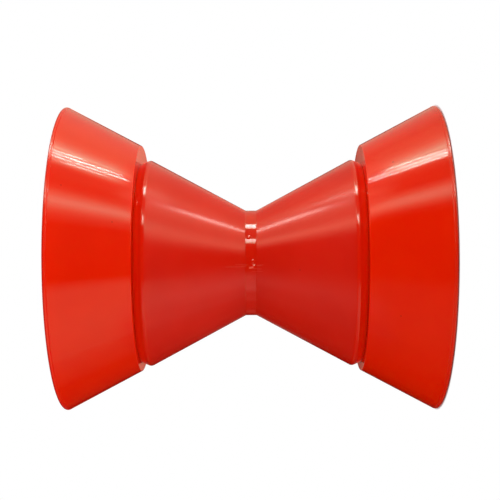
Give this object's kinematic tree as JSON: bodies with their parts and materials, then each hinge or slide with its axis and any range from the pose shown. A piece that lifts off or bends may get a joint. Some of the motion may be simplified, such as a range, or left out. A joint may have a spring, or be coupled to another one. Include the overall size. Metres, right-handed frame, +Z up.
{
  "type": "boat trailer roller",
  "caption": "Waisted bow roller between flared end bells, all turning on a steel sleeve for a bracket's bolt.",
  "frame": {"origin": "on the sleeve's axis, in the plane that the set stands on", "axes": "+Z up along the sleeve; +X is the way that the bells' axis stands off the sleeve's, by the bore slack"},
  "size_m": [0.1064, 0.1064, 0.1295],
  "materials": {
    "roller_red": "moulded, semi-gloss",
    "bell_red": "moulded, gloss",
    "plated_steel": "zinc plated"
  },
  "bodies": {
    "sleeve": {"axle_sleeve": "plated_steel"},
    "roller": {"bow_roller": "roller_red"},
    "lower_end": {"lower_bell": "bell_red"},
    "upper_end": {"upper_bell": "bell_red"}
  },
  "joints": [
    {"name": "roller_spin", "type": "hinge", "parent": "sleeve", "child": "roller", "pos_m": [-0.00088, 0, 0.06445], "axis": [0, 0, 1], "continuous": true},
    {"name": "lower_bell_spin", "type": "hinge", "parent": "sleeve", "child": "lower_end", "pos_m": [0.00088, 0, 0.01305], "axis": [0, 0, 1], "continuous": true},
    {"name": "upper_bell_spin", "type": "hinge", "parent": "sleeve", "child": "upper_end", "pos_m": [0.00088, 0, 0.11585], "axis": [0, 0, 1], "continuous": true}
  ]
}
